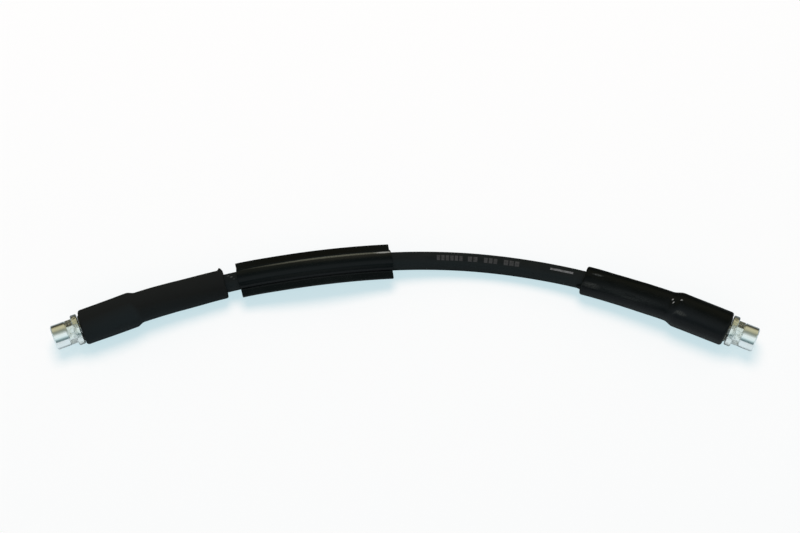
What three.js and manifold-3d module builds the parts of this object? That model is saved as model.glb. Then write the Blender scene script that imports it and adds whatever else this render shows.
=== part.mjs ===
// Rubber brake hose with a female steel fitting crimped on each end, kink sleeves over both
// crimps and a finned chafe sleeve on the hose. It lies on a flat surface in the loose bow,
// with a low arch under the chafe sleeve, that its rubber keeps.
// Millimetres, +Z up. The origin is on that surface, under the middle of the whole hose.

import * as THREE from 'three';
import { mergeVertices } from 'three/addons/utils/BufferGeometryUtils.js';
import Module from 'manifold-3d';

// Gap that touching pieces keep
const clearance = 0.3;

// Axis of the hose from its left cut end to its right cut end
const hoseRoute = [
  [-179.35, -18.38, 10.3],
  [-170.3, -14.77, 10.3],
  [-160.6, -10.91, 10.3],
  [-150.9, -7.04, 10.3],
  [-138.0, -2.31, 9.75],
  [-122.0, 2.8, 9.0],
  [-106.0, 7.62, 8.6],
  [-90.0, 11.19, 9.6],
  [-72.0, 13.7, 11.6],
  [-54.0, 16.11, 12.7],
  [-36.0, 18.66, 12.1],
  [-18.0, 21.16, 10.2],
  [0.0, 22.99, 8.2],
  [18.0, 23.63, 6.9],
  [36.0, 23.09, 6.2],
  [54.0, 21.34, 6.0],
  [72.0, 18.46, 6.3],
  [90.0, 14.37, 7.3],
  [106.0, 9.66, 8.62],
  [122.0, 4.27, 9.15],
  [138.0, -1.6, 9.85],
  [150.5, -6.44, 10.3],
  [160.1, -10.63, 10.3],
  [169.8, -14.85, 10.3],
  [179.4, -19.04, 10.3],
];

// Hose
const hoseRadius = 5.25;
const hoseBoreRadius = 1.7;
const hoseSides = 12;
const hoseSteps = 30;

// Steel fitting: a round barrel with the port in it, a hexagonal neck that the bracket keys,
// a collar that stops against the bracket, and a barbed tail in the hose
const barrelRadius = 7.0;
const barrelLength = 8.4;
const barrelChamfer = 0.7;
const neckLength = 3.9;
const neckRelief = 0.35;
const hexagonTurn = THREE.MathUtils.degToRad(26);
const collarRadius = 8.8;
const collarLength = 3.5;
const collarChamfer = 0.4;
const portRadius = 4.45;
const portDepth = 12.0;
const portMouthChamfer = 0.55;
const portConeHalfAngle = THREE.MathUtils.degToRad(59);
const passageRadius = 0.85;
const tailLength = 23.0;
const barbCount = 4;
const barbHeight = 0.2;
const stopFlangeRadius = 4.6;
const stopFlangeThickness = 0.8;
const lipSeatRadius = 2.9;
const fittingSegments = 36;
const cutterOverrun = 1.0;

// Crimped ferrule
const ferruleRadius = 7.45;
const ferruleLength = 28.0;
const ferruleLipThickness = 1.5;
const ferruleLead = 0.8;
const crimpCount = 3;
const crimpLength = 5.2;
const crimpDepth = 0.45;
const crimpPitch = 7.4;
const firstCrimpFromLip = 3.6;
const ferruleSegments = 28;

// Kink sleeves, one slid over each crimp until it all but meets the collar
const kinkSleeveEdgeRound = 1.6;
const kinkSleeveCutRound = 1.0;
const boreTaperLength = 4.0;
const leftSleeve = {
  length: 84.1,
  fromCollar: 0.85,
  collarEndRadius: 10.15,
  swellRadius: 10.3,
  shoulderFromFerrule: 1.8,
  shoulderLength: 4.6,
  stepRadius: 8.9,
  cutEndRadius: 8.45,
  collarEndSlant: 1.1,
};
const rightSleeve = {
  length: 84.8,
  fromCollar: 0.8,
  collarEndRadius: 10.1,
  swellRadius: 10.25,
  shoulderFromFerrule: 1.9,
  shoulderLength: 6.0,
  stepRadius: 8.66,
  cutEndRadius: 8.42,
  collarEndSlant: 0.8,
};
const sleeveSegments = 28;
const slantFade = 20.0;
const sleeveRingSpacing = 9.0;

// Chafe sleeve with a flat fin along each side
const chafeSleeveStart = 90.2;
const chafeSleeveLength = 86.7;
const chafeSleeveWall = 1.15;
const chafeSleeveSteps = 9;
const finReach = 10.65;
const finThickness = 2.0;
const finRootFillet = 0.9;
const slantAcrossFins = 1.4;

const wasm = await Module();
wasm.setup();

function material(color, roughness, metalness) {
  return new THREE.MeshStandardMaterial({ color, roughness, metalness });
}

const hoseRubber = material(0x1d1f1f, 0.55, 0);
const sleeveRubber = material(0x131414, 0.6, 0);
const finnedRubber = material(0x101112, 0.35, 0);
const zincSteel = material(0xb9bdb8, 0.28, 1);
const ferruleSteel = material(0x9c9a8c, 0.4, 1);

const route = new THREE.CatmullRomCurve3(
  hoseRoute.map(([x, y, z]) => new THREE.Vector3(x, y, z)),
  false,
  'centripetal',
);
route.arcLengthDivisions = 1500;
const hoseLength = route.getLength();

// Frame of the route at a distance from the left cut end, carried on straight past both ends
function routeFrame(distance) {
  const inside = THREE.MathUtils.clamp(distance, 0, hoseLength);
  const point = route.getPointAt(inside / hoseLength);
  const along = route.getTangentAt(inside / hoseLength);
  point.addScaledVector(along, distance - inside);
  const side = new THREE.Vector3(0, 0, 1).cross(along).normalize();
  const up = along.clone().cross(side);
  return { point, along, side, up };
}

// The same frame measured inwards from one cut end of the hose
function endFrame(isLeft, inwards) {
  const frame = routeFrame(isLeft ? inwards : hoseLength - inwards);
  if (!isLeft) {
    frame.along.negate();
    frame.side.negate();
  }
  return frame;
}

// Bends a straight solid, whose length lies on Z, onto the frames that frameAt gives
function bend(geometry, frameAt) {
  const position = geometry.attributes.position;
  const vertex = new THREE.Vector3();
  for (let i = 0; i < position.count; i += 1) {
    vertex.fromBufferAttribute(position, i);
    const { point, side, up } = frameAt(vertex.z);
    point.addScaledVector(side, vertex.x).addScaledVector(up, vertex.y);
    position.setXYZ(i, point.x, point.y, point.z);
  }
  geometry.computeVertexNormals();
  return geometry;
}

// Ring turned about Z from a closed outline of [radius, z], outer side first and upwards
function turned(outline, segments) {
  const points = [...outline, outline[0]].map(([radius, z]) => new THREE.Vector2(radius, z));
  return new THREE.LatheGeometry(points, segments).rotateX(Math.PI / 2);
}

function toManifold(geometry) {
  const plain = geometry.clone();
  plain.deleteAttribute('normal');
  plain.deleteAttribute('uv');
  const merged = mergeVertices(plain);
  return new wasm.Manifold(new wasm.Mesh({
    numProp: 3,
    vertProperties: new Float32Array(merged.attributes.position.array),
    triVerts: new Uint32Array(merged.index.array),
  }));
}

function fromManifold(solid) {
  const mesh = solid.getMesh();
  const geometry = new THREE.BufferGeometry();
  geometry.setAttribute('position', new THREE.BufferAttribute(mesh.vertProperties, 3));
  geometry.setIndex(new THREE.BufferAttribute(mesh.triVerts, 1));
  geometry.computeVertexNormals();
  return geometry;
}

// Heights along the fitting's axis, outwards from the hose's cut end
const flangeBack = clearance;
const flangeFront = flangeBack + stopFlangeThickness;
const lipBack = flangeFront + clearance;
const lipFront = lipBack + ferruleLipThickness;
const collarBack = lipFront + clearance;
const collarFront = collarBack + collarLength;
const neckFront = collarFront + neckLength;
const portFace = neckFront + barrelLength;

// Barbs on the tail, one after another, each rising towards the collar
function barbedTail() {
  const rootRadius = hoseBoreRadius - clearance - barbHeight;
  const crestRadius = hoseBoreRadius - clearance;
  const barbPitch = tailLength / barbCount;
  const outline = [[rootRadius, -tailLength]];
  for (let i = 0; i < barbCount; i += 1) {
    const start = -tailLength + i * barbPitch;
    outline.push([crestRadius, start + barbPitch * 0.6]);
    outline.push([crestRadius, start + barbPitch * 0.75]);
    outline.push([rootRadius, start + barbPitch * 0.8]);
  }
  outline.push([rootRadius, flangeBack]);
  return outline;
}

// The hexagon is turned, so that a flat faces up and a little towards the bow's inside
function fittingGeometry(isLeft) {
  const coneDepth = (portRadius - passageRadius) / Math.tan(portConeHalfAngle);
  const turnedBody = turned([
    ...barbedTail(),
    [stopFlangeRadius, flangeBack],
    [stopFlangeRadius, flangeFront],
    [lipSeatRadius, flangeFront],
    [lipSeatRadius, collarBack],
    [collarRadius - collarChamfer, collarBack],
    [collarRadius, collarBack + collarChamfer],
    [collarRadius, collarFront - collarChamfer],
    [collarRadius - collarChamfer, collarFront],
    [barrelRadius, collarFront],
    [barrelRadius, neckFront - neckRelief],
    [barrelRadius - neckRelief, neckFront],
    [barrelRadius, neckFront + neckRelief],
    [barrelRadius, portFace - barrelChamfer],
    [barrelRadius - barrelChamfer, portFace],
    [portRadius + portMouthChamfer, portFace],
    [portRadius, portFace - portMouthChamfer],
    [portRadius, portFace - portDepth],
    [passageRadius, portFace - portDepth - coneDepth],
    [passageRadius, -tailLength],
  ], fittingSegments);
  const ring = new THREE.Shape().absarc(0, 0, collarRadius + cutterOverrun, 0, 2 * Math.PI);
  const hexagon = new THREE.Path();
  for (let i = 0; i < 6; i += 1) {
    const angle = i * Math.PI / 3 + (isLeft ? -hexagonTurn : hexagonTurn);
    const corner = [barrelRadius * Math.cos(angle), barrelRadius * Math.sin(angle)];
    if (i === 0) {
      hexagon.moveTo(...corner);
    } else {
      hexagon.lineTo(...corner);
    }
  }
  hexagon.closePath();
  ring.holes.push(hexagon);
  const cutter = new THREE.ExtrudeGeometry(ring, {
    depth: neckLength - neckRelief,
    bevelEnabled: false,
    curveSegments: 12,
  });
  cutter.translate(0, 0, collarFront);
  return fromManifold(toManifold(turnedBody).subtract(toManifold(cutter)));
}

// Heights of the ferrule are inwards from the hose's cut end, so its lip has negative ones
const ferruleTop = -lipFront;
const ferruleEnd = ferruleTop + ferruleLength;
const ferruleBoreRadius = hoseRadius + clearance;

function ferruleGeometry() {
  const outline = [
    [lipSeatRadius + clearance, ferruleTop],
    [ferruleRadius - ferruleLead, ferruleTop],
    [ferruleRadius, ferruleTop + ferruleLead],
  ];
  for (let i = 0; i < crimpCount; i += 1) {
    const start = ferruleTop + firstCrimpFromLip + i * crimpPitch;
    outline.push([ferruleRadius, start]);
    outline.push([ferruleRadius - crimpDepth, start + crimpDepth]);
    outline.push([ferruleRadius - crimpDepth, start + crimpLength - crimpDepth]);
    outline.push([ferruleRadius, start + crimpLength]);
  }
  outline.push([ferruleRadius, ferruleEnd]);
  outline.push([ferruleBoreRadius + ferruleLead, ferruleEnd]);
  outline.push([ferruleBoreRadius, ferruleEnd - ferruleLead]);
  outline.push([ferruleBoreRadius, ferruleTop + ferruleLipThickness]);
  outline.push([lipSeatRadius + clearance, ferruleTop + ferruleLipThickness]);
  return turned(outline, ferruleSegments);
}

// Adds points to the long straights of an outline, so that the solid can follow the bow
function withRings(outline) {
  const fine = [];
  outline.forEach(([radius, z], i) => {
    const [nextRadius, nextZ] = outline[(i + 1) % outline.length];
    const parts = Math.max(1, Math.ceil(Math.abs(nextZ - z) / sleeveRingSpacing));
    for (let k = 0; k < parts; k += 1) {
      const share = k / parts;
      fine.push([radius + share * (nextRadius - radius), z + share * (nextZ - z)]);
    }
  });
  return fine;
}

// Quarter round from one direction to the other on an outline's corner
function quarterRound(centreRadius, centreZ, round, fromAngle, steps) {
  const arc = [];
  for (let i = 0; i <= steps; i += 1) {
    const angle = fromAngle + i / steps * Math.PI / 2;
    arc.push([centreRadius + round * Math.cos(angle), centreZ + round * Math.sin(angle)]);
  }
  return arc;
}

// The collar end was cut a little aslant, so the side towards the bow's outside is shorter
function kinkSleeveGeometry(sleeve, isLeft) {
  const collarEnd = sleeve.fromCollar - collarBack;
  const cutEnd = collarEnd + sleeve.length;
  const boreTaperStart = ferruleEnd + clearance;
  const shoulderStart = ferruleEnd + sleeve.shoulderFromFerrule;
  const shoulderEnd = shoulderStart + sleeve.shoulderLength;
  const ferruleSeatRadius = ferruleRadius + clearance;
  const hoseSeatRadius = hoseRadius + clearance;
  const fall = sleeve.swellRadius - sleeve.stepRadius;
  const outline = withRings([
    ...quarterRound(
      sleeve.collarEndRadius - kinkSleeveEdgeRound,
      collarEnd + kinkSleeveEdgeRound,
      kinkSleeveEdgeRound,
      -Math.PI / 2,
      3,
    ),
    [sleeve.swellRadius, shoulderStart - sleeve.shoulderLength],
    [sleeve.swellRadius, shoulderStart],
    [sleeve.swellRadius - 0.2 * fall, shoulderStart + 0.3 * sleeve.shoulderLength],
    [sleeve.stepRadius + 0.2 * fall, shoulderStart + 0.7 * sleeve.shoulderLength],
    [sleeve.stepRadius, shoulderEnd],
    ...quarterRound(
      sleeve.cutEndRadius - kinkSleeveCutRound,
      cutEnd - kinkSleeveCutRound,
      kinkSleeveCutRound,
      0,
      2,
    ),
    [hoseSeatRadius, cutEnd],
    [hoseSeatRadius, boreTaperStart + boreTaperLength],
    [ferruleSeatRadius, boreTaperStart],
    [ferruleSeatRadius, collarEnd],
  ]);
  const straight = turned(outline, sleeveSegments);
  const outside = isLeft ? 1 : -1;
  const position = straight.attributes.position;
  for (let i = 0; i < position.count; i += 1) {
    const fade = Math.max(0, 1 - (position.getZ(i) - collarEnd) / slantFade);
    const across = outside * position.getX(i) / sleeve.collarEndRadius;
    position.setZ(i, position.getZ(i) + fade * across * sleeve.collarEndSlant / 2);
  }
  return bend(straight, (inwards) => endFrame(isLeft, inwards));
}

function chafeSleeveSection() {
  const tubeRadius = hoseRadius + clearance + chafeSleeveWall;
  const half = finThickness / 2;
  const filletTop = half + finRootFillet;
  const filletAngle = Math.asin(filletTop / tubeRadius);
  const rootReach = Math.sqrt(tubeRadius ** 2 - half ** 2);
  const section = new THREE.Shape();
  section.moveTo(finReach, -half);
  section.lineTo(finReach, half);
  section.lineTo(rootReach + finRootFillet, half);
  section.lineTo(rootReach, half + 0.25 * finRootFillet);
  section.absarc(0, 0, tubeRadius, filletAngle, Math.PI - filletAngle);
  section.lineTo(-rootReach, half + 0.25 * finRootFillet);
  section.lineTo(-rootReach - finRootFillet, half);
  section.lineTo(-finReach, half);
  section.lineTo(-finReach, -half);
  section.lineTo(-rootReach - finRootFillet, -half);
  section.lineTo(-rootReach, -half - 0.25 * finRootFillet);
  section.absarc(0, 0, tubeRadius, Math.PI + filletAngle, 2 * Math.PI - filletAngle);
  section.lineTo(rootReach, -half - 0.25 * finRootFillet);
  section.lineTo(rootReach + finRootFillet, -half);
  section.closePath();
  const bore = new THREE.Path().absarc(0, 0, hoseRadius + clearance, 0, 2 * Math.PI);
  section.holes.push(bore);
  return section;
}

// The right end was cut a little aslant, so the near fin is the longer one
function chafeSleeveGeometry() {
  const straight = new THREE.ExtrudeGeometry(chafeSleeveSection(), {
    depth: chafeSleeveLength,
    steps: chafeSleeveSteps,
    bevelEnabled: false,
    curveSegments: 9,
  });
  const position = straight.attributes.position;
  for (let i = 0; i < position.count; i += 1) {
    const share = position.getZ(i) / chafeSleeveLength;
    const slant = -slantAcrossFins / 2 * position.getX(i) / finReach;
    position.setZ(i, position.getZ(i) + share * slant);
  }
  return bend(straight, (z) => routeFrame(chafeSleeveStart + z));
}

function hoseGeometry() {
  const section = new THREE.Shape().absarc(0, 0, hoseRadius, 0, 2 * Math.PI);
  section.holes.push(new THREE.Path().absarc(0, 0, hoseBoreRadius, 0, 2 * Math.PI));
  return new THREE.ExtrudeGeometry(section, {
    extrudePath: route,
    steps: hoseSteps,
    curveSegments: hoseSides / 2,
    bevelEnabled: false,
  });
}

function named(name, geometry, finish) {
  const mesh = new THREE.Mesh(geometry, finish);
  mesh.name = name;
  return mesh;
}

// Places a straight, rigid piece at a cut end of the hose, its Z axis inwards or outwards
function atHoseEnd(mesh, isLeft, outwards) {
  const { point, along, side, up } = endFrame(isLeft, 0);
  if (outwards) {
    along.negate();
    side.negate();
  }
  mesh.position.copy(point);
  mesh.quaternion.setFromRotationMatrix(new THREE.Matrix4().makeBasis(side, up, along));
  return mesh;
}

const group = new THREE.Group();
group.add(named('hose', hoseGeometry(), hoseRubber));
for (const [end, isLeft, sleeve] of [['left', true, leftSleeve], ['right', false, rightSleeve]]) {
  group.add(atHoseEnd(named(`fitting_${end}`, fittingGeometry(isLeft), zincSteel), isLeft, true));
  group.add(atHoseEnd(named(`ferrule_${end}`, ferruleGeometry(), ferruleSteel), isLeft, false));
  group.add(named(`kink_sleeve_${end}`, kinkSleeveGeometry(sleeve, isLeft), sleeveRubber));
}
group.add(named('chafe_sleeve', chafeSleeveGeometry(), finnedRubber));

export default group;
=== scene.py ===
"""A car's rubber brake hose, with a steel fitting crimped on each end, kink sleeves over both
crimps and a finned chafe sleeve. It lies on a white surface in the loose bow that it keeps,
with a low arch under the chafe sleeve.
Metres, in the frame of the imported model: the hose runs along X, +Z is up."""

import math
from bisect import bisect_right

import bmesh
import bpy
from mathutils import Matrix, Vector, noise


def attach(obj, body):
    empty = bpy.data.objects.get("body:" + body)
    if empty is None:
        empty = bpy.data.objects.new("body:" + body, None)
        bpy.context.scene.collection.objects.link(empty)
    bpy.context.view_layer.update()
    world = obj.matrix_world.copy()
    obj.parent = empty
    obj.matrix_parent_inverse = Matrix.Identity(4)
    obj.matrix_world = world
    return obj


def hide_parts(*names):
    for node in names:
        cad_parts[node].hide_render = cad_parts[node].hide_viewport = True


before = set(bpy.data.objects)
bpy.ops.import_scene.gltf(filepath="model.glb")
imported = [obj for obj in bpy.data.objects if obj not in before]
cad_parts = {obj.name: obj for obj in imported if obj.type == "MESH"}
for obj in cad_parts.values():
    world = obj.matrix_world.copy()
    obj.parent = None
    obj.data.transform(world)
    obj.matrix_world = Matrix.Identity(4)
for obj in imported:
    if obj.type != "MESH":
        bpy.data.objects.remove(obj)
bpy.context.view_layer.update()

# Camera
# It looks down on the hose from 66 degrees above the surface, square on, through a long lens.
camera_elevation = math.radians(66)
camera_distance = 0.95
camera_target = Vector((-0.00275, 0.02006, 0.007))
picture_width = 800
metres_per_pixel = 0.000574
sensor_width = 36

camera_data = bpy.data.cameras.new("camera")
camera_data.sensor_width = sensor_width
camera_data.lens = sensor_width * camera_distance / (metres_per_pixel * picture_width)
camera = bpy.data.objects.new("camera", camera_data)
away = Vector((0, -math.cos(camera_elevation), math.sin(camera_elevation)))
camera.location = camera_target + camera_distance * away
camera.rotation_euler = (-away).to_track_quat("-Z", "Y").to_euler()
bpy.context.scene.collection.objects.link(camera)
bpy.context.scene.camera = camera
bpy.context.scene.view_settings.view_transform = "Standard"

# Hose
# An extruded rubber tube with its braid bonded in the wall, 10.5 mm outside. It leaves one
# fitting and goes into the other, and its own stiffness holds it in a loose bow and lifts its
# middle into a low arch.
hose_route = [Vector(point) for point in (
    (-0.17935, -0.01838, 0.0103),
    (-0.1703, -0.01477, 0.0103),
    (-0.1606, -0.01091, 0.0103),
    (-0.1509, -0.00704, 0.0103),
    (-0.138, -0.00231, 0.00975),
    (-0.122, 0.0028, 0.009),
    (-0.106, 0.00762, 0.0086),
    (-0.09, 0.01119, 0.0096),
    (-0.072, 0.0137, 0.0116),
    (-0.054, 0.01611, 0.0127),
    (-0.036, 0.01866, 0.0121),
    (-0.018, 0.02116, 0.0102),
    (0.0, 0.02299, 0.0082),
    (0.018, 0.02363, 0.0069),
    (0.036, 0.02309, 0.0062),
    (0.054, 0.02134, 0.006),
    (0.072, 0.01846, 0.0063),
    (0.09, 0.01437, 0.0073),
    (0.106, 0.00966, 0.00862),
    (0.122, 0.00427, 0.00915),
    (0.138, -0.0016, 0.00985),
    (0.1505, -0.00644, 0.0103),
    (0.1601, -0.01063, 0.0103),
    (0.1698, -0.01485, 0.0103),
    (0.1794, -0.01904, 0.0103),
)]
line_steps = 60
clearance = 0.0003
hose_radius = 0.00525
hose_bore_radius = 0.0017
hose_cut_round = 0.0003
hose_ring_pitch = 0.0012
hose_columns = 72


def spline_span(before, start, end, after, share):
    """Point of a centripetal Catmull-Rom span between start and end."""
    lead = (start - before).length ** 0.5
    span = (end - start).length ** 0.5
    trail = (after - end).length ** 0.5
    leave = (start - before) / lead - (end - before) / (lead + span) + (end - start) / span
    reach = (end - start) / span - (after - start) / (span + trail) + (after - end) / trail
    square = share * share
    cube = square * share
    return (
        (2 * cube - 3 * square + 1) * start
        + (cube - 2 * square + share) * span * leave
        + (3 * square - 2 * cube) * end
        + (cube - square) * span * reach
    )


def fine_line(route, steps):
    """Points of the smooth line through the route, with that many steps in each span."""
    ends = [2 * route[0] - route[1], *route, 2 * route[-1] - route[-2]]
    line = [
        spline_span(*ends[i:i + 4], step / steps)
        for i in range(len(route) - 1)
        for step in range(steps)
    ]
    return [*line, route[-1]]


hose_line = fine_line(hose_route, line_steps)
line_reach = [0.0]
for i in range(1, len(hose_line)):
    line_reach.append(line_reach[-1] + (hose_line[i] - hose_line[i - 1]).length)
hose_length = line_reach[-1]


def line_tangent(i):
    """Direction of the hose's line at one of its points."""
    before = hose_line[max(i - 1, 0)]
    after = hose_line[min(i + 1, len(hose_line) - 1)]
    return (after - before).normalized()


def frame_at(distance):
    """Point, along, side and up at a distance from the left cut end, straight past both ends."""
    inside = min(max(distance, 0.0), hose_length)
    i = min(bisect_right(line_reach, inside), len(line_reach) - 1) - 1
    share = (inside - line_reach[i]) / (line_reach[i + 1] - line_reach[i])
    along = line_tangent(i).lerp(line_tangent(i + 1), share).normalized()
    point = hose_line[i].lerp(hose_line[i + 1], share) + (distance - inside) * along
    side = Vector((0, 0, 1)).cross(along).normalized()
    return point, along, side, along.cross(side)


def end_frame(is_left, inwards):
    """The same frame, measured inwards from one cut end, with along pointing inwards."""
    if is_left:
        return frame_at(inwards)
    point, along, side, up = frame_at(hose_length - inwards)
    return point, -along, side, up


def object_from(name, mesh_maker):
    """Object in the scene from a finished bmesh."""
    mesh = bpy.data.meshes.new(name)
    mesh_maker.to_mesh(mesh)
    mesh_maker.free()
    made = bpy.data.objects.new(name, mesh)
    bpy.context.scene.collection.objects.link(made)
    return made


def grid_piece(name, rows, places, sharp_above=32):
    """Closed mesh through rows of points, each row a loop, the last row meeting the first.
    Places are each row's distances along and round the surface, kept in a map named lie."""
    mesh_maker = bmesh.new()
    lie = mesh_maker.loops.layers.uv.new("lie")
    made = [[mesh_maker.verts.new(point) for point in row] for row in rows]
    row_count = len(rows)
    column_count = len(rows[0])
    for i in range(row_count):
        next_i = (i + 1) % row_count
        for k in range(column_count):
            next_k = (k + 1) % column_count
            face = mesh_maker.faces.new((
                made[i][k], made[i][next_k], made[next_i][next_k], made[next_i][k]))
            spots = ((i, k), (i, k + 1), (next_i, k + 1), (next_i, k))
            for corner, (row, column) in zip(face.loops, spots):
                along, round_step = places[row]
                corner[lie].uv = (along, column * round_step)
            face.smooth = True
    bmesh.ops.recalc_face_normals(mesh_maker, faces=mesh_maker.faces)
    for edge in mesh_maker.edges:
        edge.smooth = edge.calc_face_angle(0) < math.radians(sharp_above)
    piece = object_from(name, mesh_maker)
    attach(piece, "root")
    return piece


def filleted(corners, arc_steps=4):
    """Closed outline of (x, y) from corners of (x, y, round), with arcs where round isn't 0."""
    outline = []
    for i, (x, y, round_radius) in enumerate(corners):
        corner = Vector((x, y))
        if round_radius == 0:
            outline.append((x, y))
            continue
        back = (Vector(corners[i - 1][:2]) - corner).normalized()
        forth = (Vector(corners[(i + 1) % len(corners)][:2]) - corner).normalized()
        half = back.angle(forth) / 2
        start = corner + back * round_radius / math.tan(half)
        end = corner + forth * round_radius / math.tan(half)
        centre = corner + (back + forth).normalized() * round_radius / math.sin(half)
        first = math.atan2(start.y - centre.y, start.x - centre.x)
        sweep = math.atan2(end.y - centre.y, end.x - centre.x) - first
        sweep = (sweep + math.pi) % (2 * math.pi) - math.pi
        for step in range(arc_steps + 1):
            angle = first + sweep * step / arc_steps
            outline.append((
                centre.x + round_radius * math.cos(angle),
                centre.y + round_radius * math.sin(angle)))
    return outline


def with_rings(outline, pitch):
    """The closed outline with more points wherever two neighbours lie over a pitch apart."""
    fine = []
    for i, (radius, height) in enumerate(outline):
        next_radius, next_height = outline[(i + 1) % len(outline)]
        parts = max(1, math.ceil(abs(next_height - height) / pitch))
        for step in range(parts):
            share = step / parts
            fine.append((
                radius + share * (next_radius - radius),
                height + share * (next_height - height)))
    return fine


def turned_piece(name, outline, columns, frame_of, shaped=None):
    """Solid turned from a closed outline of (radius, height) and carried onto frame_of(height).
    Shaped changes a radius and height at an angle. The columns start at the underside."""
    rows = []
    places = []
    travelled = 0.0
    for i, (radius, height) in enumerate(outline):
        before = outline[i - 1] if i else outline[0]
        travelled += math.dist((radius, height), before)
        places.append((travelled, 2 * math.pi * radius / columns))
        row = []
        for k in range(columns):
            angle = 2 * math.pi * k / columns - math.pi / 2
            at_radius, at_height = radius, height
            if shaped:
                at_radius, at_height = shaped(radius, height, angle)
            point, _, side, up = frame_of(at_height)
            across = math.cos(angle) * side + math.sin(angle) * up
            row.append(point + at_radius * across)
        rows.append(row)
    return grid_piece(name, rows, places)


hose_outline = with_rings(filleted([
    (hose_radius, 0, hose_cut_round),
    (hose_radius, hose_length, hose_cut_round),
    (hose_bore_radius, hose_length, 0),
    (hose_bore_radius, 0, 0),
], arc_steps=3), hose_ring_pitch)
hose = turned_piece("brake_hose", hose_outline, hose_columns, frame_at)
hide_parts("hose")


def add(tree, kind, **settings):
    """New node in the tree, with its settings."""
    made = tree.nodes.new(kind)
    for name, value in settings.items():
        setattr(made, name, value)
    return made


def effect_group(name, inputs, outputs):
    """Empty node group with those named sockets, its input node and its output node."""
    tree = bpy.data.node_groups.new(name, "ShaderNodeTree")
    for socket_name, kind, value in inputs:
        socket = tree.interface.new_socket(socket_name, in_out="INPUT", socket_type=kind)
        socket.default_value = value
    for socket_name, kind in outputs:
        tree.interface.new_socket(socket_name, in_out="OUTPUT", socket_type=kind)
    return tree, tree.nodes.new("NodeGroupInput"), tree.nodes.new("NodeGroupOutput")


def lie_scaled(tree, along_scale, round_scale):
    """The surface's own distances, along and round, times two scales."""
    lie = add(tree, "ShaderNodeUVMap", uv_map="lie")
    scaled = add(tree, "ShaderNodeVectorMath", operation="MULTIPLY")
    scaled.inputs[1].default_value = (along_scale, round_scale, 1)
    tree.links.new(lie.outputs["UV"], scaled.inputs[0])
    return scaled.outputs[0]


def cloud(tree, along_cells, round_cells, detail, roughness=0.5):
    """Noise with that many cells to a metre, along the surface and round it."""
    made = add(tree, "ShaderNodeTexNoise")
    made.inputs["Scale"].default_value = 1
    made.inputs["Detail"].default_value = detail
    made.inputs["Roughness"].default_value = roughness
    tree.links.new(lie_scaled(tree, along_cells, round_cells), made.inputs["Vector"])
    return made.outputs["Fac"]


def ranged(tree, value, low, high, to_low, to_high):
    """The value, taken from the range low to high into the range to_low to to_high."""
    made = add(tree, "ShaderNodeMapRange")
    tree.links.new(value, made.inputs["Value"])
    ends_of_ranges = {"From Min": low, "From Max": high, "To Min": to_low, "To Max": to_high}
    for name, number in ends_of_ranges.items():
        made.inputs[name].default_value = number
    return made.outputs["Result"]


def maths(tree, operation, first, second):
    """One sum of two values, each a number or another node's output."""
    made = add(tree, "ShaderNodeMath", operation=operation)
    for socket, value in zip(made.inputs, (first, second)):
        if isinstance(value, (int, float)):
            socket.default_value = value
        else:
            tree.links.new(value, socket)
    return made.outputs[0]


# Numbers of a Mix node's sockets by its kind: first, second, result
mix_sockets = {"FLOAT": (2, 3, 0), "RGBA": (6, 7, 2)}


def blended(tree, kind, share, first, second):
    """From first, where the share is 0, to second, where it is 1."""
    made = add(tree, "ShaderNodeMix", data_type=kind)
    first_socket, second_socket, result_socket = mix_sockets[kind]
    for number, value in ((0, share), (first_socket, first), (second_socket, second)):
        if isinstance(value, (int, float, tuple)):
            made.inputs[number].default_value = value
        else:
            tree.links.new(value, made.inputs[number])
    return made.outputs[result_socket]


def mixed(tree, share, first, second):
    return blended(tree, "RGBA", share, first, second)


def spot_mask(tree, places):
    """1 in the middle of each ellipse of (along, round, half along, half round), 0 outside."""
    solid_share = 0.35
    mask = 0
    for along, round_place, half_along, half_round in places:
        apart = add(tree, "ShaderNodeVectorMath", operation="DISTANCE")
        apart.inputs[1].default_value = (along / half_along, round_place / half_round, 0)
        tree.links.new(lie_scaled(tree, 1 / half_along, 1 / half_round), apart.inputs[0])
        spot = ranged(tree, apart.outputs["Value"], solid_share, 1, 1, 0)
        mask = maths(tree, "MAXIMUM", spot, mask)
    return mask


# Rubber's skin: die lines along the length, fine grain, bloom in soft patches
skin, skin_in, skin_out = effect_group("rubber_skin", [
    ("Rubber", "NodeSocketColor", (0.01, 0.01, 0.01, 1)),
    ("Bloom Colour", "NodeSocketColor", (0.05, 0.05, 0.05, 1)),
    ("Bloom", "NodeSocketFloat", 0.3),
    ("Die Lines", "NodeSocketFloat", 0.5),
    ("Grain", "NodeSocketFloat", 0.5),
    ("Smoothest", "NodeSocketFloat", 0.4),
    ("Roughest", "NodeSocketFloat", 0.7),
], [
    ("Colour", "NodeSocketColor"),
    ("Roughness", "NodeSocketFloat"),
    ("Height", "NodeSocketFloat"),
])
die_lines = cloud(skin, 30, 2600, detail=3)
coarse_lines = cloud(skin, 12, 900, detail=2)
grain = cloud(skin, 3800, 3800, detail=4, roughness=0.6)
bloom_cloud = cloud(skin, 90, 160, detail=5, roughness=0.62)
bloom_mask = ranged(skin, bloom_cloud, 0.46, 0.72, 0, 1)
bloom_speck = maths(skin, "MULTIPLY", bloom_mask, ranged(skin, grain, 0.3, 0.7, 0.4, 1))
bloom_share = maths(skin, "MULTIPLY", bloom_speck, skin_in.outputs["Bloom"])
tone = mixed(skin, bloom_share, skin_in.outputs["Rubber"], skin_in.outputs["Bloom Colour"])
skin.links.new(tone, skin_out.inputs["Colour"])
rough_share = maths(
    skin, "ADD",
    maths(skin, "MULTIPLY", bloom_mask, 0.6),
    maths(skin, "MULTIPLY", grain, 0.4))
skin_roughness = blended(
    skin, "FLOAT", rough_share, skin_in.outputs["Smoothest"], skin_in.outputs["Roughest"])
skin.links.new(skin_roughness, skin_out.inputs["Roughness"])
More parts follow.
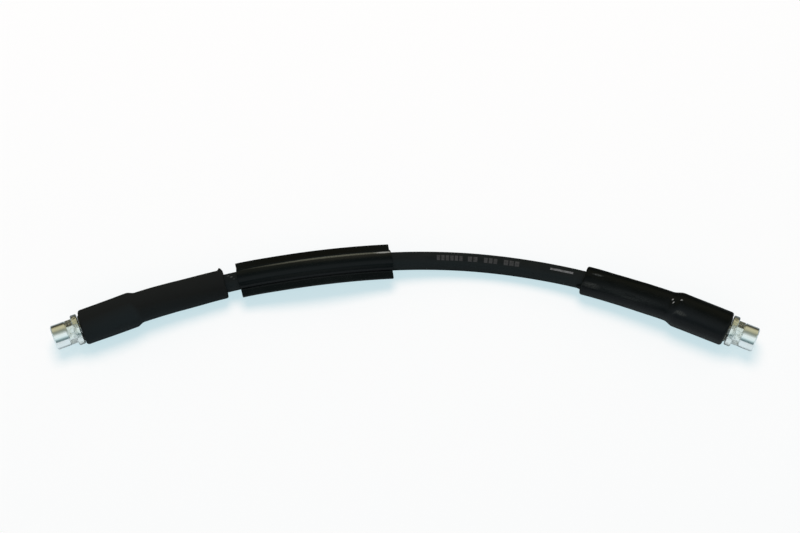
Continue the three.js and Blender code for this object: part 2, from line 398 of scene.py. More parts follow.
line_height = maths(skin, "ADD", maths(skin, "MULTIPLY", coarse_lines, 2.2), die_lines)
skin_height = maths(
    skin, "ADD",
    maths(skin, "MULTIPLY", line_height, skin_in.outputs["Die Lines"]),
    maths(skin, "MULTIPLY", grain, skin_in.outputs["Grain"]))
skin.links.new(skin_height, skin_out.inputs["Height"])


def new_material(name):
    """New material, its node tree and its shader."""
    material = bpy.data.materials.new(name)
    material.use_nodes = True
    return material, material.node_tree, material.node_tree.nodes["Principled BSDF"]


def effect_material(name, effect, bump, values):
    """Material with an effect group's colour, roughness and bumps, and its shader."""
    material, tree, shader = new_material(name)
    placed = add(tree, "ShaderNodeGroup", node_tree=effect)
    for socket_name, value in values.items():
        placed.inputs[socket_name].default_value = value
    bumped = add(tree, "ShaderNodeBump")
    bumped.inputs["Strength"].default_value = 1
    bumped.inputs["Distance"].default_value = bump
    tree.links.new(placed.outputs["Height"], bumped.inputs["Height"])
    tree.links.new(bumped.outputs["Normal"], shader.inputs["Normal"])
    tree.links.new(placed.outputs["Colour"], shader.inputs["Base Color"])
    tree.links.new(placed.outputs["Roughness"], shader.inputs["Roughness"])
    return material, shader


def rubber_material(
        name, rubber, bloom_colour, bloom, die, grain_size, smoothest, roughest, gloss, bump):
    """Black rubber: the skin, with a weak gloss."""
    material, shader = effect_material(name, skin, bump, {
        "Rubber": (*rubber, 1),
        "Bloom Colour": (*bloom_colour, 1),
        "Bloom": bloom,
        "Die Lines": die,
        "Grain": grain_size,
        "Smoothest": smoothest,
        "Roughest": roughest,
    })
    shader.inputs["Specular IOR Level"].default_value = gloss
    return material


def marks_and_painted_light(material, places, colour, broken):
    """Turns the material to a colour in those ellipses of (along, round, half along, half round).
    A share from 0 to 1 breaks them up into grains. Besides marks, it paints shade, highlights and
    reflections onto the surface as painted light."""
    tree = material.node_tree
    shader = tree.nodes["Principled BSDF"]
    whole = shader.inputs["Base Color"].links[0].from_socket
    grains = ranged(
        tree, cloud(tree, 1300, 1700, detail=3, roughness=0.6), 0.42, 0.58, 1 - broken, 1)
    share = maths(tree, "MULTIPLY", spot_mask(tree, places), grains)
    tree.links.new(mixed(tree, share, whole, (*colour, 1)), shader.inputs["Base Color"])


hose_rubber = rubber_material(
    "hose_rubber", rubber=(0.0062, 0.0080, 0.0084), bloom_colour=(0.017, 0.018, 0.018), bloom=0.55,
    die=0.55, grain_size=0.35, smoothest=0.5, roughest=0.72, gloss=0.12, bump=0.000022)
# Pale specks between the left sleeve and the chafe sleeve
marks_and_painted_light(
    hose_rubber, [
        (0.0847, 0.0143, 0.0007, 0.0004),
        (0.0863, 0.0156, 0.0010, 0.0004),
        (0.0876, 0.0172, 0.0005, 0.0003),
    ], colour=(0.090, 0.090, 0.088), broken=0.5)
# Painted paler along its whole front: a painted reflection of the pale surface in front
marks_and_painted_light(
    hose_rubber, [(0.1900, 0.0235, 0.2500, 0.0060)],
    colour=(0.0110, 0.0158, 0.0170), broken=0.2)
hose.data.materials.append(hose_rubber)

# Print and stripe
# A line of worn grey ink blocks and, further along, a painted stripe, rolled onto the hose by
# the maker. Each block is a film of ink two hundredths of a millimetre thick.
ink_lift = 0.00002
ink_columns = 6
ink_row_pitch = 0.0006
ink_roughness = 0.7
ink_gloss = 0.3
worn_rubber_colour = (0.010, 0.010, 0.0105, 1)
print_gap = 0.0007
# Each run of blocks: its start, how many, the length of one
print_runs = [(0.2036, 6, 0.0019), (0.2216, 2, 0.0024), (0.2309, 3, 0.0021), (0.2424, 3, 0.0025)]
print_angles = (74, 109)
stripe_start = 0.2694
stripe_length = 0.0134
stripe_angles = (79, 93)


def ink_piece(name, films, material):
    """Films of ink just proud of the hose, each of (start, length, angles round the hose)."""
    mesh_maker = bmesh.new()
    lie = mesh_maker.loops.layers.uv.new("lie")
    for start, length, (first, last) in films:
        steps = max(2, round(length / ink_row_pitch))
        arcs = [
            math.radians(first + (last - first) * k / ink_columns)
            for k in range(ink_columns + 1)
        ]
        made = []
        for i in range(steps + 1):
            point, _, side, up = frame_at(start + length * i / steps)
            made.append([
                mesh_maker.verts.new(
                    point + (hose_radius + ink_lift) * (math.cos(arc) * side + math.sin(arc) * up))
                for arc in arcs])
        for i in range(steps):
            for k in range(ink_columns):
                spots = ((i, k), (i + 1, k), (i + 1, k + 1), (i, k + 1))
                face = mesh_maker.faces.new([made[row][column] for row, column in spots])
                face.smooth = True
                for corner, (row, column) in zip(face.loops, spots):
                    corner[lie].uv = (start + length * row / steps, hose_radius * arcs[column])
    piece = object_from(name, mesh_maker)
    piece.data.materials.append(material)
    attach(piece, "root")


def ink_material(name, ink, cover, worn_to):
    """Grey ink that has worn through to the rubber in specks."""
    material, tree, shader = new_material(name)
    specks = cloud(tree, 4200, 4200, detail=3, roughness=0.7)
    patches = cloud(tree, 500, 500, detail=2)
    wear = maths(
        tree, "ADD",
        maths(tree, "MULTIPLY", specks, 0.6),
        maths(tree, "MULTIPLY", patches, 0.4))
    left_on = ranged(tree, wear, worn_to - 0.18, worn_to, 0, cover)
    tree.links.new(
        mixed(tree, left_on, worn_rubber_colour, (*ink, 1)), shader.inputs["Base Color"])
    shader.inputs["Roughness"].default_value = ink_roughness
    shader.inputs["Specular IOR Level"].default_value = ink_gloss
    return material


ink_piece(
    "print_blocks",
    [
        (start + i * (length + print_gap), length, print_angles)
        for start, count, length in print_runs
        for i in range(count)
    ],
    ink_material("print_ink", ink=(0.050, 0.050, 0.051), cover=0.8, worn_to=0.55))
ink_piece(
    "painted_stripe",
    [(stripe_start, stripe_length, stripe_angles)],
    ink_material("stripe_ink", ink=(0.145, 0.145, 0.148), cover=0.9, worn_to=0.51))

# Fittings
# Each is one piece of free-cutting steel, turned, milled to a hexagon behind the collar,
# tapped M10x1 and plated with bright zinc. Heights are outwards from the hose's cut end.
barrel_radius = 0.0070
barrel_length = 0.0084
barrel_chamfer = 0.0007
neck_length = 0.0039
neck_relief = 0.00035
collar_radius = 0.0088
collar_length = 0.0035
collar_chamfer = 0.0004
thread_minor_radius = 0.00445
thread_depth = 0.00054
thread_pitch = 0.001
thread_length = 0.0095
thread_lead_in = 0.0004
thread_groove_share = 0.69
thread_flank_share = 0.62
port_depth = 0.0120
port_mouth_chamfer = 0.00055
port_cone_half_angle = math.radians(59)
passage_radius = 0.00085
tail_length = 0.0230
barb_count = 4
barb_height = 0.0002
barb_crest_share = 0.6
barb_fall_share = 0.75
barb_root_share = 0.8
flange_radius = 0.0046
flange_thickness = 0.0008
lip_seat_radius = 0.0029
lip_thickness = 0.0015
hexagon_turn = math.radians(26)
hexagon_run_out = 0.00002
edge_break = 0.00012
fitting_columns = 144
fitting_ring_pitch = 0.002
thread_row_pitch = 0.0001
tolerance = 1e-7

flange_back = clearance
flange_front = flange_back + flange_thickness
lip_front = flange_front + clearance + lip_thickness
collar_back = lip_front + clearance
collar_front = collar_back + collar_length
neck_front = collar_front + neck_length
port_face = neck_front + barrel_length
hexagon_front = neck_front - neck_relief
thread_front = port_face - port_mouth_chamfer
thread_back = thread_front - thread_length


def barbs():
    """Outline of the tail: barbs one after another, each rising towards the collar."""
    root = hose_bore_radius - clearance - barb_height
    pitch = tail_length / barb_count
    corners = [(root, -tail_length, 0)]
    for i in range(barb_count):
        start = -tail_length + i * pitch
        corners.append((root + barb_height, start + barb_crest_share * pitch, 0))
        corners.append((root + barb_height, start + barb_fall_share * pitch, 0))
        corners.append((root, start + barb_root_share * pitch, 0))
    return corners


def fitting_outline():
    """Outline from the tail over the outside and back through the port and the passage."""
    cone_depth = (thread_minor_radius - passage_radius) / math.tan(port_cone_half_angle)
    outside = [
        *barbs(),
        (hose_bore_radius - clearance - barb_height, flange_back, 0),
        (flange_radius, flange_back, edge_break),
        (flange_radius, flange_front, edge_break),
        (lip_seat_radius, flange_front, 0),
        (lip_seat_radius, collar_back, 0),
        (collar_radius - collar_chamfer, collar_back, edge_break),
        (collar_radius, collar_back + collar_chamfer, edge_break),
        (collar_radius, collar_front - collar_chamfer, edge_break),
        (collar_radius - collar_chamfer, collar_front, edge_break),
        (barrel_radius, collar_front, 0),
        (barrel_radius, hexagon_front, 0),
        (barrel_radius, hexagon_front + hexagon_run_out, 0),
        (barrel_radius - neck_relief, neck_front, edge_break),
        (barrel_radius, neck_front + neck_relief, edge_break),
        (barrel_radius, port_face - barrel_chamfer, edge_break),
        (barrel_radius - barrel_chamfer, port_face, edge_break),
        (thread_minor_radius + port_mouth_chamfer, port_face, edge_break),
        (thread_minor_radius, thread_front, 0),
    ]
    inside = [
        (thread_minor_radius, port_face - port_depth, 0),
        (passage_radius, port_face - port_depth - cone_depth, 0),
        (passage_radius, -tail_length, 0),
    ]
    turns = round(thread_length / thread_row_pitch)
    thread = [
        (thread_minor_radius, thread_front - thread_length * i / turns)
        for i in range(1, turns + 1)
    ]
    rounded = filleted([*outside, *inside])
    mouth = len(rounded) - len(inside)
    return with_rings(rounded[:mouth] + thread + rounded[mouth:], fitting_ring_pitch)


def thread_profile(share):
    """Depth of the groove, from 0 on the crest to 1 on its flat floor, over one pitch."""
    inside_groove = thread_groove_share - abs(share - 0.5) * 2
    return min(1.0, max(0.0, inside_groove / thread_flank_share))


def fitting_shape(is_left):
    """Mills the hexagon and cuts the thread, which runs out over its last turn."""
    hand = 1 if is_left else -1

    def shaped(radius, height, angle):
        on_neck = collar_front - tolerance <= height <= hexagon_front + tolerance
        if on_neck and radius > barrel_radius - tolerance:
            sector = (angle - hexagon_turn) % (math.pi / 3) - math.pi / 6
            apothem = barrel_radius * math.cos(math.pi / 6)
            return min(radius, apothem / math.cos(sector)), height
        on_bore = abs(radius - thread_minor_radius) < tolerance
        if on_bore and thread_back - tolerance <= height <= thread_front + tolerance:
            turn = (height / thread_pitch + hand * angle / (2 * math.pi)) % 1
            run_out = (height - thread_back) / thread_pitch
            lead_in = (thread_front - height) / thread_lead_in
            fade = max(0.0, min(1.0, run_out, lead_in))
            return radius + thread_depth * fade * thread_profile(turn), height
        return radius, height

    return shaped


def outward_frame(is_left):
    """Straight frames along the fitting's axis, outwards from one cut end of the hose."""
    start, along, side, up = end_frame(is_left, 0)
    return lambda outwards: (start - outwards * along, along, side, up)


# Zinc plate: turning marks round the axis, a thin haze of blue and straw, small nicks, and
# dents and dark pits where the surface is milled
plate, plate_in, plate_out = effect_group("zinc_plate", [
    ("Metal", "NodeSocketColor", (0.8, 0.8, 0.8, 1)),
    ("Haze", "NodeSocketColor", (0.7, 0.65, 0.5, 1)),
    ("Haze Amount", "NodeSocketFloat", 0.4),
    ("Smoothest", "NodeSocketFloat", 0.2),
    ("Roughest", "NodeSocketFloat", 0.4),
    ("Dents", "NodeSocketFloat", 0.0),
    ("Pits", "NodeSocketFloat", 0.0),
], [
    ("Colour", "NodeSocketColor"),
    ("Roughness", "NodeSocketFloat"),
    ("Height", "NodeSocketFloat"),
])
pit_colour = (0.13, 0.16, 0.15, 1)
turning_marks = cloud(plate, 9000, 40, detail=3, roughness=0.6)
wide_marks = cloud(plate, 1500, 60, detail=2)
haze_cloud = cloud(plate, 260, 200, detail=4, roughness=0.6)
haze_mask = ranged(plate, haze_cloud, 0.35, 0.7, 0, 1)
haze_share = maths(plate, "MULTIPLY", haze_mask, plate_in.outputs["Haze Amount"])
plate_tone = mixed(plate, haze_share, plate_in.outputs["Metal"], plate_in.outputs["Haze"])
pit_mask = ranged(plate, cloud(plate, 640, 430, detail=2, roughness=0.6), 0.50, 0.66, 0, 1)
pit_share = maths(plate, "MULTIPLY", pit_mask, plate_in.outputs["Pits"])
plate.links.new(mixed(plate, pit_share, plate_tone, pit_colour), plate_out.inputs["Colour"])
plate_rough_share = maths(
    plate, "ADD",
    maths(plate, "MULTIPLY", haze_cloud, 0.5),
    maths(plate, "MULTIPLY", turning_marks, 0.5))
plate_roughness = blended(
    plate, "FLOAT", plate_rough_share, plate_in.outputs["Smoothest"], plate_in.outputs["Roughest"])
plate.links.new(plate_roughness, plate_out.inputs["Roughness"])
nicks = ranged(plate, cloud(plate, 1600, 900, detail=2, roughness=0.4), 0.66, 0.74, 0, 1)
plate_height = maths(
    plate, "SUBTRACT",
    maths(plate, "ADD", turning_marks, maths(plate, "MULTIPLY", wide_marks, 1.5)),
    maths(plate, "MULTIPLY", nicks, 3))
dent_height = maths(
    plate, "MULTIPLY",
    cloud(plate, 900, 700, detail=2, roughness=0.6),
    plate_in.outputs["Dents"])
plate.links.new(maths(plate, "ADD", plate_height, dent_height), plate_out.inputs["Height"])


def plated_material(name, metal, haze, haze_amount, smoothest, roughest, dents, pits, bump):
    """Steel under zinc plate."""
    material, shader = effect_material(name, plate, bump, {
        "Metal": (*metal, 1),
        "Haze": (*haze, 1),
        "Haze Amount": haze_amount,
        "Smoothest": smoothest,
        "Roughest": roughest,
        "Dents": dents,
        "Pits": pits,
    })
    shader.inputs["Metallic"].default_value = 1
    return material


bright_zinc = plated_material(
    "bright_zinc", metal=(0.81, 0.84, 0.85), haze=(0.76, 0.76, 0.70), haze_amount=0.4,
    smoothest=0.09, roughest=0.20, dents=0.0, pits=0.0, bump=0.000006)
milled_zinc = plated_material(
    "milled_zinc", metal=(0.80, 0.83, 0.83), haze=(0.62, 0.62, 0.54), haze_amount=0.7,
    smoothest=0.10, roughest=0.22, dents=62.0, pits=0.42, bump=0.000006)


def mill(fitting, is_left):
    """Gives the neck and the collar the rougher plate."""
    start, along, _, _ = end_frame(is_left, 0)
    fitting.data.materials.append(milled_zinc)
    for face in fitting.data.polygons:
        outwards = (start - face.center).dot(along)
        off_axis = (start - outwards * along - face.center).length
        if collar_back < outwards < neck_front and off_axis > lip_seat_radius:
            face.material_index = 1


ends = (("left", True), ("right", False))
for end, is_left in ends:
    fitting = turned_piece(
        f"port_fitting_{end}", fitting_outline(), fitting_columns, outward_frame(is_left),
        fitting_shape(is_left))
    fitting.data.materials.append(bright_zinc)
    mill(fitting, is_left)
    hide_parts(f"fitting_{end}")

# Ferrules
# A drawn steel shell over each end of the hose, squeezed onto the barbs in three bands. The
# kink sleeve hides it, apart from its lip. Heights are inwards from the hose's cut end.
ferrule_radius = 0.00745
ferrule_length = 0.0280
ferrule_lead = 0.0008
crimp_count = 3
crimp_length = 0.0052
crimp_depth = 0.00045
crimp_pitch = 0.0074
first_crimp = 0.0036
crimp_round = 0.0006
ferrule_columns = 96
ferrule_ring_pitch = 0.002
ferrule_top = -lip_front
ferrule_end = ferrule_top + ferrule_length
ferrule_bore = hose_radius + clearance


def ferrule_outline():
    """Outline from the inturned lip over the crimps and back along the bore."""
    corners = [
        (lip_seat_radius + clearance, ferrule_top, 0),
        (ferrule_radius, ferrule_top, ferrule_lead),
    ]
    for i in range(crimp_count):
        start = ferrule_top + first_crimp + i * crimp_pitch
        corners += [
            (ferrule_radius, start, crimp_round),
            (ferrule_radius - crimp_depth, start + crimp_depth, crimp_round),
            (ferrule_radius - crimp_depth, start + crimp_length - crimp_depth, crimp_round),
            (ferrule_radius, start + crimp_length, crimp_round),
        ]
    corners += [
        (ferrule_radius, ferrule_end, edge_break),
        (ferrule_bore + ferrule_lead, ferrule_end, edge_break),
        (ferrule_bore, ferrule_end - ferrule_lead, 0),
        (ferrule_bore, ferrule_top + lip_thickness, 0),
        (lip_seat_radius + clearance, ferrule_top + lip_thickness, 0),
    ]
    return with_rings(filleted(corners), ferrule_ring_pitch)


# The ferrule's plate is made much darker than zinc as painted shade, for the narrow gap between the
# sleeve and the collar where it shows
shade_darkened_zinc = plated_material(
    "shade_darkened_zinc", metal=(0.24, 0.23, 0.20), haze=(0.15, 0.14, 0.11), haze_amount=0.6,
    smoothest=0.4, roughest=0.55, dents=0.0, pits=0.0, bump=0.000006)
for end, is_left in ends:
    ferrule = turned_piece(
        f"crimped_ferrule_{end}", ferrule_outline(), ferrule_columns,
        lambda inwards, is_left=is_left: end_frame(is_left, inwards))
    ferrule.data.materials.append(shade_darkened_zinc)
    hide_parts(f"ferrule_{end}")

# Kink sleeves
# Moulded rubber sleeves, pushed over each crimp until they all but meet the collar. They
# swell over the ferrule, step down behind it and end in a hand cut. The right one is glossier
# and has folds at its step. Heights are inwards from the hose's cut end.
sleeve_edge_round = 0.0016
sleeve_cut_round = 0.0010
sleeve_bore_edge = 0.0003
bore_taper_length = 0.0040
shoulder_steps = 12
slant_fade = 0.0200
cut_lean_reach = 0.0060
sleeve_columns = 112
sleeve_ring_pitch = 0.0007
# Soft lumps, all of them inwards: cells to a metre, height
lump_depth = 0.00012
lump_sizes = ((55, 0.00009), (190, 0.00004))
sleeve_sizes = {
    "left": {
        "length": 0.0841, "from_collar": 0.00085, "collar_end": 0.01015, "swell": 0.0103,
        "shoulder_gap": 0.0018, "shoulder": 0.0046, "step": 0.0089, "cut_end": 0.00845,
        "slant": 0.0011, "near_overrun": 0.0,
    },
    "right": {
        "length": 0.0848, "from_collar": 0.0008, "collar_end": 0.0101, "swell": 0.01025,
        "shoulder_gap": 0.0019, "shoulder": 0.0060, "step": 0.00866, "cut_end": 0.00842,
        "slant": 0.0008, "near_overrun": 0.0012,
    },
}
# Each dent, fold or burr: inwards, angle, half width inwards, half width round, height. It
# fades out within three half widths, and mark_reach is the square of that.
mark_reach = 9
sleeve_marks = {
    "left": [
        (0.0803, 27, 0.0008, 0.0009, 0.0014),
        (0.0350, 150, 0.0060, 0.0040, -0.00012),
        (0.0600, 110, 0.0080, 0.0050, -0.00008),
    ],
    "right": [
        (0.0322, 87, 0.0010, 0.0014, 0.00045),
        (0.0310, 101, 0.0009, 0.0012, 0.00040),
        (0.0274, 80, 0.0010, 0.0018, 0.00030),
        (0.0296, 92, 0.0009, 0.0016, -0.00035),
        (0.0333, 118, 0.0012, 0.0040, -0.00045),
        (0.0340, 95, 0.0014, 0.0020, -0.00030),
        (0.0550, 127, 0.0050, 0.0010, -0.00035),
        (0.0550, 138, 0.0045, 0.0010, 0.00018),
        (0.0760, 77, 0.0035, 0.0009, 0.00020),
        (0.0740, 84, 0.0040, 0.0009, -0.00022),
        (0.0780, 122, 0.0040, 0.0011, 0.00020),
        (0.0745, 131, 0.0030, 0.0010, -0.00022),
    ],
}
# A tongue that the knife left on the right cut end: angle, half width in degrees, length
cut_tongue = (163, 15, 0.0027)
tongue_radius = 0.0061
tongue_reach = 0.0004


def sleeve_outline(sizes):
    """Outline from the collar over the swell and the step to the cut, and back along the bore."""
    collar_end = sizes["from_collar"] - collar_back
    cut_end = collar_end + sizes["length"]
    taper_start = ferrule_end + clearance
    shoulder = ferrule_end + sizes["shoulder_gap"]
    shoulder_end = shoulder + sizes["shoulder"]
    fall = [
        (
            sizes["swell"] - (sizes["swell"] - sizes["step"]) * share * share * (3 - 2 * share),
            shoulder + share * (shoulder_end - shoulder),
            0,
        )
        for share in (i / shoulder_steps for i in range(shoulder_steps + 1))
    ]
    corners = [
        (sizes["collar_end"], collar_end, sleeve_edge_round),
        *fall,
        (sizes["cut_end"], cut_end, sleeve_cut_round),
        (tongue_radius + sleeve_bore_edge, cut_end, 0),
        (tongue_radius, cut_end, 0),
        (hose_radius + clearance, cut_end, sleeve_bore_edge),
        (hose_radius + clearance, taper_start + bore_taper_length, 0),
        (ferrule_radius + clearance, taper_start, 0),
        (ferrule_radius + clearance, collar_end, sleeve_bore_edge),
    ]
    return with_rings(filleted(corners, arc_steps=6), sleeve_ring_pitch)


def sleeve_shape(end, sizes):
    """Both ends aslant, the tongue, soft lumps, dents and folds. The bore stays round."""
    collar_end = sizes["from_collar"] - collar_back
    cut_end = collar_end + sizes["length"]
    hand = 1 if end == "left" else -1
    seed = Vector((3.1, 7.7, 1.3)) * hand

    def shaped(radius, height, angle):
        sideways = math.cos(angle)
        near_collar = max(0.0, 1 - (height - collar_end) / slant_fade)
        slant = hand * near_collar * radius / sizes["collar_end"] * sizes["slant"] / 2
        near_cut = max(0.0, 1 - (cut_end - height) / cut_lean_reach)
        overrun = sizes["near_overrun"] * near_cut
        at_height = height + slant * sideways + overrun * max(0.0, -sideways)
        on_tongue = radius < tongue_radius + tolerance and height > cut_end - tongue_reach
        if end == "right" and on_tongue:
            degrees, half_width, length = cut_tongue
            off = (math.degrees(angle) - degrees) / half_width
            at_height += length * max(0.0, 1 - off * off) ** 0.5
        if radius < ferrule_radius + 2 * clearance:
            return radius, at_height
        rim = Vector((math.cos(angle) * radius, math.sin(angle) * radius, height))
        at_radius = radius - lump_depth
        for cells, lump_height in lump_sizes:
            at_radius += lump_height * noise.noise(rim * cells + seed)
        for inwards, degrees, long_half, round_half, rise in sleeve_marks[end]:
            off_length = (height - inwards) / long_half
            off_round = (angle - math.radians(degrees)) * radius / round_half
            reach = off_length * off_length + off_round * off_round
            if reach < mark_reach:
                at_radius += rise * math.exp(-reach)
        return at_radius, at_height

    return shaped


sleeve_rubbers = {
    "left": rubber_material(
        "matte_sleeve_rubber",
        rubber=(0.0092, 0.0100, 0.0096), bloom_colour=(0.012, 0.013, 0.0125), bloom=0.5,
        die=0.12, grain_size=0.8, smoothest=0.65, roughest=0.85, gloss=0.06, bump=0.00003),
    "right": rubber_material(
        "glossier_sleeve_rubber",
        rubber=(0.0008, 0.0016, 0.0018), bloom_colour=(0.005, 0.006, 0.006), bloom=0.5,
        die=0.12, grain_size=0.3, smoothest=0.28, roughest=0.5, gloss=0.115, bump=0.00002),
}
# Both are painted paler along their whole front: a painted reflection of the pale surface in front
marks_and_painted_light(
    sleeve_rubbers["left"], [(0.0400, 0.0465, 0.1200, 0.0150)],
    colour=(0.0142, 0.0200, 0.0222), broken=0.1)
marks_and_painted_light(
    sleeve_rubbers["right"], [(0.0400, 0.0400, 0.1000, 0.0080)],
    colour=(0.0060, 0.0076, 0.0088), broken=0.3)
# Pale dots on the folds of the right one are painted glints, paler mottled patches lie at its ends,
# and a faint band between is a painted highlight
# Painted glints: pale dots where the folds would catch the light
marks_and_painted_light(
    sleeve_rubbers["right"], [
        (0.0354, 0.0270, 0.0006, 0.0006),
        (0.0345, 0.0295, 0.0006, 0.0006),
        (0.0307, 0.0304, 0.0008, 0.0005),
    ], colour=(0.30, 0.30, 0.29), broken=0.2)
marks_and_painted_light(
    sleeve_rubbers["right"], [
        (0.0792, 0.0248, 0.0038, 0.0008),
        (0.0809, 0.0320, 0.0060, 0.0020),
        (0.0288, 0.0379, 0.0045, 0.0016),
    ], colour=(0.044, 0.047, 0.044), broken=0.8)
# Painted highlight: a faint paler band along the middle
marks_and_painted_light(
    sleeve_rubbers["right"], [(0.0600, 0.0323, 0.0260, 0.0030)],
    colour=(0.013, 0.015, 0.015), broken=0.9)
for end, is_left in ends:
    sizes = sleeve_sizes[end]
    sleeve = turned_piece(
        f"rubber_kink_sleeve_{end}", sleeve_outline(sizes), sleeve_columns,
        lambda inwards, is_left=is_left: end_frame(is_left, inwards),
        sleeve_shape(end, sizes))
    sleeve.data.materials.append(sleeve_rubbers[end])
    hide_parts(f"kink_sleeve_{end}")

# Chafe sleeve
# One extrusion of shiny rubber: a tube that slides on the hose, with a flat fin along each
# side that rubs in the hose's place. It was cut to length by hand, both ends a little aslant.
chafe_start = 0.0902
chafe_length = 0.0867
chafe_wall = 0.00115
fin_reach = 0.01059
fin_thickness = 0.0020
fin_root_fillet = 0.0009
fin_root_round = 0.00063
fin_edge_round = 0.00035
fin_arc_steps = 4
top_arc_steps = 40
chafe_ring_pitch = 0.0010
# Both cuts run past the length by the overrun, and each leans by that much at the fins' edges
cut_overrun = 0.0005
cut_lean_left = 0.0005
cut_lean_right = 0.0006
# Rounding of a cut's edge, each (how far inwards, how far pulled in) as shares of the radius
chafe_cut_round = 0.00015
cut_profile = ((0, 1), (0.4, 0.3), (1, 0))
# Low ridges that the die left along the top
rib_angles = (60, 122, 146)
rib_height = 0.00012
rib_half_width = 0.00035
# Places round the sleeve, from the far fin's root over the top
far_fin_place = 0.0079
rib_place = 0.01745
flank_place = 0.0284
fin_root_place = 0.0334


def chafe_section():
    """Outer loop of the section, from the far fin over the top, and each point's bore angle."""
    tube = hose_radius + clearance + chafe_wall
    half = fin_thickness / 2
    root_reach = math.sqrt(tube ** 2 - half ** 2)
    join = math.asin((half + fin_root_fillet) / tube)
    loop = []

    def fin(direction):
        """One fin, from under its root round its edge to over its root."""
        corners = [
            (root_reach, -half, fin_root_round),
            (fin_reach, -half, fin_edge_round),
            (fin_reach, half, fin_edge_round),
            (root_reach, half, fin_root_round),
            (tube * math.cos(join), tube * math.sin(join), 0),
            (tube * math.cos(join), -tube * math.sin(join), 0),
        ]
        fin_points = filleted(corners, fin_arc_steps)[:-2]
        return [(direction * x, direction * y) for x, y in fin_points]

    for direction, centre in ((1, 0), (-1, math.pi)):
        points = fin(direction)
        loop += [
            (x, y, centre + join * (2 * i / (len(points) - 1) - 1))
            for i, (x, y) in enumerate(points)
        ]
        for i in range(top_arc_steps + 1):
            angle = centre + join + (math.pi - 2 * join) * i / top_arc_steps
            radius = tube
            for degrees in rib_angles:
                off = (angle - math.radians(degrees)) * tube / rib_half_width
                radius += rib_height * math.exp(-off * off)
            loop.append((radius * math.cos(angle), radius * math.sin(angle), angle))
    return loop


def chafe_piece():
    """The section drawn along the hose's route, with both cuts aslant."""
    section = chafe_section()
    bore = hose_radius + clearance
    steps = round(chafe_length / chafe_ring_pitch)
    left_edge = [
        (inwards * chafe_cut_round, pull * chafe_cut_round)
        for inwards, pull in cut_profile
    ]
    right_edge = [(chafe_length - station, pull) for station, pull in reversed(left_edge)]
    between = [(chafe_length * i / steps, 0) for i in range(1, steps)]
    stations = left_edge + between + right_edge

    def at(station, x, y):
        share = station / chafe_length
        lean_left = cut_overrun + cut_lean_left * x / fin_reach
        lean_right = cut_overrun - cut_lean_right * x / fin_reach
        lean = share * lean_right - (1 - share) * lean_left
        point, _, side, up = frame_at(chafe_start + station + lean)
        return point + x * side + y * up

    rows = []
    places = []
    for station, pull in stations:
        row = []
        for x, y, _ in section:
            left_over = 1 - pull / math.hypot(x, y)
            row.append(at(station, x * left_over, y * left_over))
        rows.append(row)
        places.append((station, 2 * math.pi * fin_reach / len(section)))
    for station, _ in reversed(stations):
        rows.append([
            at(station, bore * math.cos(angle), bore * math.sin(angle))
            for _, _, angle in section
        ])
        places.append((station, 2 * math.pi * bore / len(section)))
    return grid_piece("finned_chafe_sleeve", rows, places)


chafe_sleeve = chafe_piece()
finned_rubber = rubber_material(
    "finned_rubber", rubber=(0.0014, 0.0028, 0.0034), bloom_colour=(0.005, 0.007, 0.007), bloom=0.4,
    die=0.8, grain_size=0.12, smoothest=0.16, roughest=0.30, gloss=0.125, bump=0.000012)
# Painted light on it: its far fin is painted darker as painted shade, its flank and near fold
# are painted paler to lift their shade, and its middle ridge carries a painted highlight, brightest
# at its right end. Each place, its colour and how broken it is
chafe_painted_light_bands = [
    ((0.0433, far_fin_place, 0.0600, 0.0016), (0.0002, 0.0004, 0.0006), 0.1),
    ((0.0433, flank_place, 0.0600, 0.0020), (0.0085, 0.0095, 0.0093), 0.5),
    ((0.0433, fin_root_place, 0.0600, 0.0014), (0.0160, 0.0180, 0.0176), 0.3),
    ((0.0620, rib_place + 0.0014, 0.0320, 0.0028), (0.012, 0.012, 0.010), 0.7),
    ((0.0560, rib_place, 0.0560, 0.0014), (0.098, 0.098, 0.075), 0.4),
    ((0.0826, rib_place, 0.0066, 0.0011), (0.27, 0.27, 0.25), 0.1),
]
for band, band_colour, band_broken in chafe_painted_light_bands:
    marks_and_painted_light(finned_rubber, [band], colour=band_colour, broken=band_broken)
chafe_sleeve.data.materials.append(finned_rubber)
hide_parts("chafe_sleeve")

# Surface and light
# A white surface that runs past the view, a soft lamp high up and a little behind, and a
# little light from all round. The camera sees the surface's shadows lifted to a pale cyan.
floor_half_size = 3.0
floor_colour = (0.80, 0.80, 0.80, 1)
floor_seen_colour = (0.470, 0.290, 0.234, 1)
floor_seen_glow = (0.505, 0.686, 0.741, 1)
# Reflections show it white in front and dark behind, turning between these two values of y
mirrored_floor_front = (0.84, 0.94, 0.98, 1)
mirrored_floor_back = (0.06, 0.06, 0.045, 1)
mirrored_floor_turn = (-0.030, 0.025)
backdrop_colour = (0.97, 0.97, 0.965, 1)
fill_colour = (0.33, 0.33, 0.33, 1)
lamp_colour = (1.0, 1.0, 1.0)
lamp_direction = Vector((-0.04, 0.43, 1.0)).normalized()
lamp_distance = 3.2
lamp_size = 1.9
lamp_power = 80

floor_maker = bmesh.new()
floor_corners = [(-1, -1), (1, -1), (1, 1), (-1, 1)]
floor_maker.faces.new([
    floor_maker.verts.new((x * floor_half_size, y * floor_half_size, 0)) for x, y in floor_corners])
floor = object_from("floor", floor_maker)

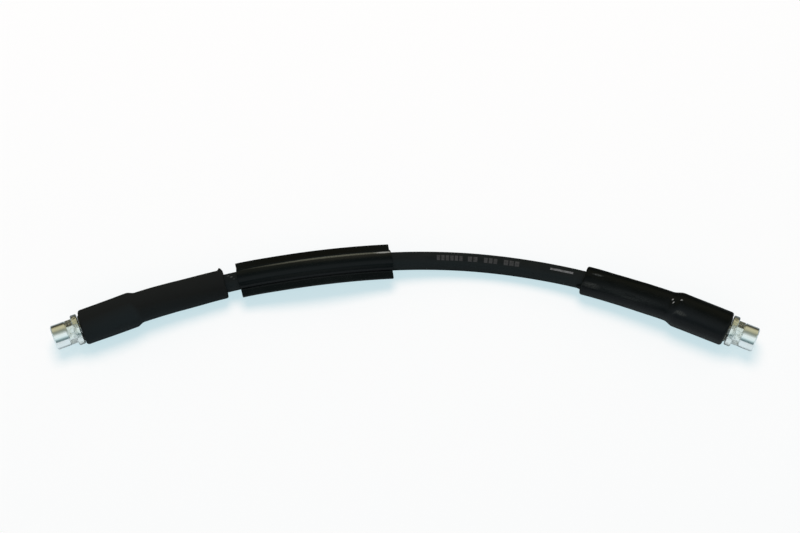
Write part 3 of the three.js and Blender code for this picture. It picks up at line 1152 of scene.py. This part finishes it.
floor_material, floor_tree, floor_shader = new_material("white_floor")
floor_shader.inputs["Roughness"].default_value = 0.9
floor_shader.inputs["Specular IOR Level"].default_value = 0.0
floor_path = add(floor_tree, "ShaderNodeLightPath")
floor_place = add(floor_tree, "ShaderNodeSeparateXYZ")
floor_tree.links.new(add(floor_tree, "ShaderNodeTexCoord").outputs["Object"], floor_place.inputs[0])
floor_back = ranged(floor_tree, floor_place.outputs["Y"], *mirrored_floor_turn, 0, 1)
mirrored_floor = mixed(floor_tree, floor_back, mirrored_floor_front, mirrored_floor_back)
floor_lit = mixed(floor_tree, floor_path.outputs["Is Camera Ray"], floor_colour, floor_seen_colour)
floor_tree.links.new(
    mixed(floor_tree, floor_path.outputs["Is Glossy Ray"], floor_lit, mirrored_floor),
    floor_shader.inputs["Base Color"])
floor_tree.links.new(
    mixed(floor_tree, floor_path.outputs["Is Camera Ray"], (0.0, 0.0, 0.0, 1), floor_seen_glow),
    floor_shader.inputs["Emission Color"])
floor_shader.inputs["Emission Strength"].default_value = 1
floor.data.materials.append(floor_material)

lamp_data = bpy.data.lights.new("lamp", "AREA")
lamp_data.shape = "DISK"
lamp_data.size = lamp_size
lamp_data.energy = lamp_power
lamp_data.color = lamp_colour
lamp = bpy.data.objects.new("lamp", lamp_data)
lamp.location = lamp_direction * lamp_distance
lamp.rotation_euler = (-lamp_direction).to_track_quat("-Z", "Y").to_euler()
lamp.visible_glossy = False
bpy.context.scene.collection.objects.link(lamp)

# Surroundings as reflections show them, by degrees from the front horizon over the top to
# the back one: white low in front, a dark strip over it, a pale panel by the camera, dim
# overhead, tan low at the back and dark at its horizon.
world = bpy.data.worlds.new("surroundings")
bpy.context.scene.world = world
world.use_nodes = True
sky = world.node_tree
sky.nodes.clear()
direction = add(sky, "ShaderNodeSeparateXYZ")
sky.links.new(add(sky, "ShaderNodeTexCoord").outputs["Generated"], direction.inputs[0])
towards_front = maths(sky, "MULTIPLY", direction.outputs["Y"], -1)
over_top = maths(sky, "ARCTAN2", direction.outputs["Z"], towards_front)
bands = add(sky, "ShaderNodeValToRGB")
band_stops = [
    (0, (0.84, 0.92, 0.96, 1)),
    (10, (0.84, 0.92, 0.96, 1)),
    (15, (0.15, 0.23, 0.24, 1)),
    (28, (0.17, 0.25, 0.26, 1)),
    (36, (0.38, 0.50, 0.51, 1)),
    (46, (0.72, 0.86, 0.88, 1)),
    (56, (0.88, 1.0, 1.0, 1)),
    (76, (0.90, 0.98, 0.97, 1)),
    (86, (0.56, 0.61, 0.57, 1)),
    (97, (0.30, 0.34, 0.29, 1)),
    (111, (0.29, 0.30, 0.23, 1)),
    (122, (0.48, 0.47, 0.31, 1)),
    (142, (0.62, 0.58, 0.38, 1)),
    (157, (0.54, 0.50, 0.31, 1)),
    (167, (0.26, 0.24, 0.15, 1)),
    (174, (0.07, 0.065, 0.04, 1)),
]
while len(bands.color_ramp.elements) < len(band_stops):
    bands.color_ramp.elements.new(1.0)
for stop, (degrees, colour) in zip(bands.color_ramp.elements, band_stops):
    stop.position = degrees / 180
    stop.color = colour
sky.links.new(maths(sky, "DIVIDE", over_top, math.pi), bands.inputs["Fac"])
sky_path = add(sky, "ShaderNodeLightPath")
unmirrored = mixed(sky, sky_path.outputs["Is Camera Ray"], fill_colour, backdrop_colour)
seen = mixed(sky, sky_path.outputs["Is Glossy Ray"], unmirrored, bands.outputs["Color"])
background = add(sky, "ShaderNodeBackground")
sky.links.new(seen, background.inputs["Color"])
world_out = add(sky, "ShaderNodeOutputWorld")
sky.links.new(background.outputs[0], world_out.inputs["Surface"])
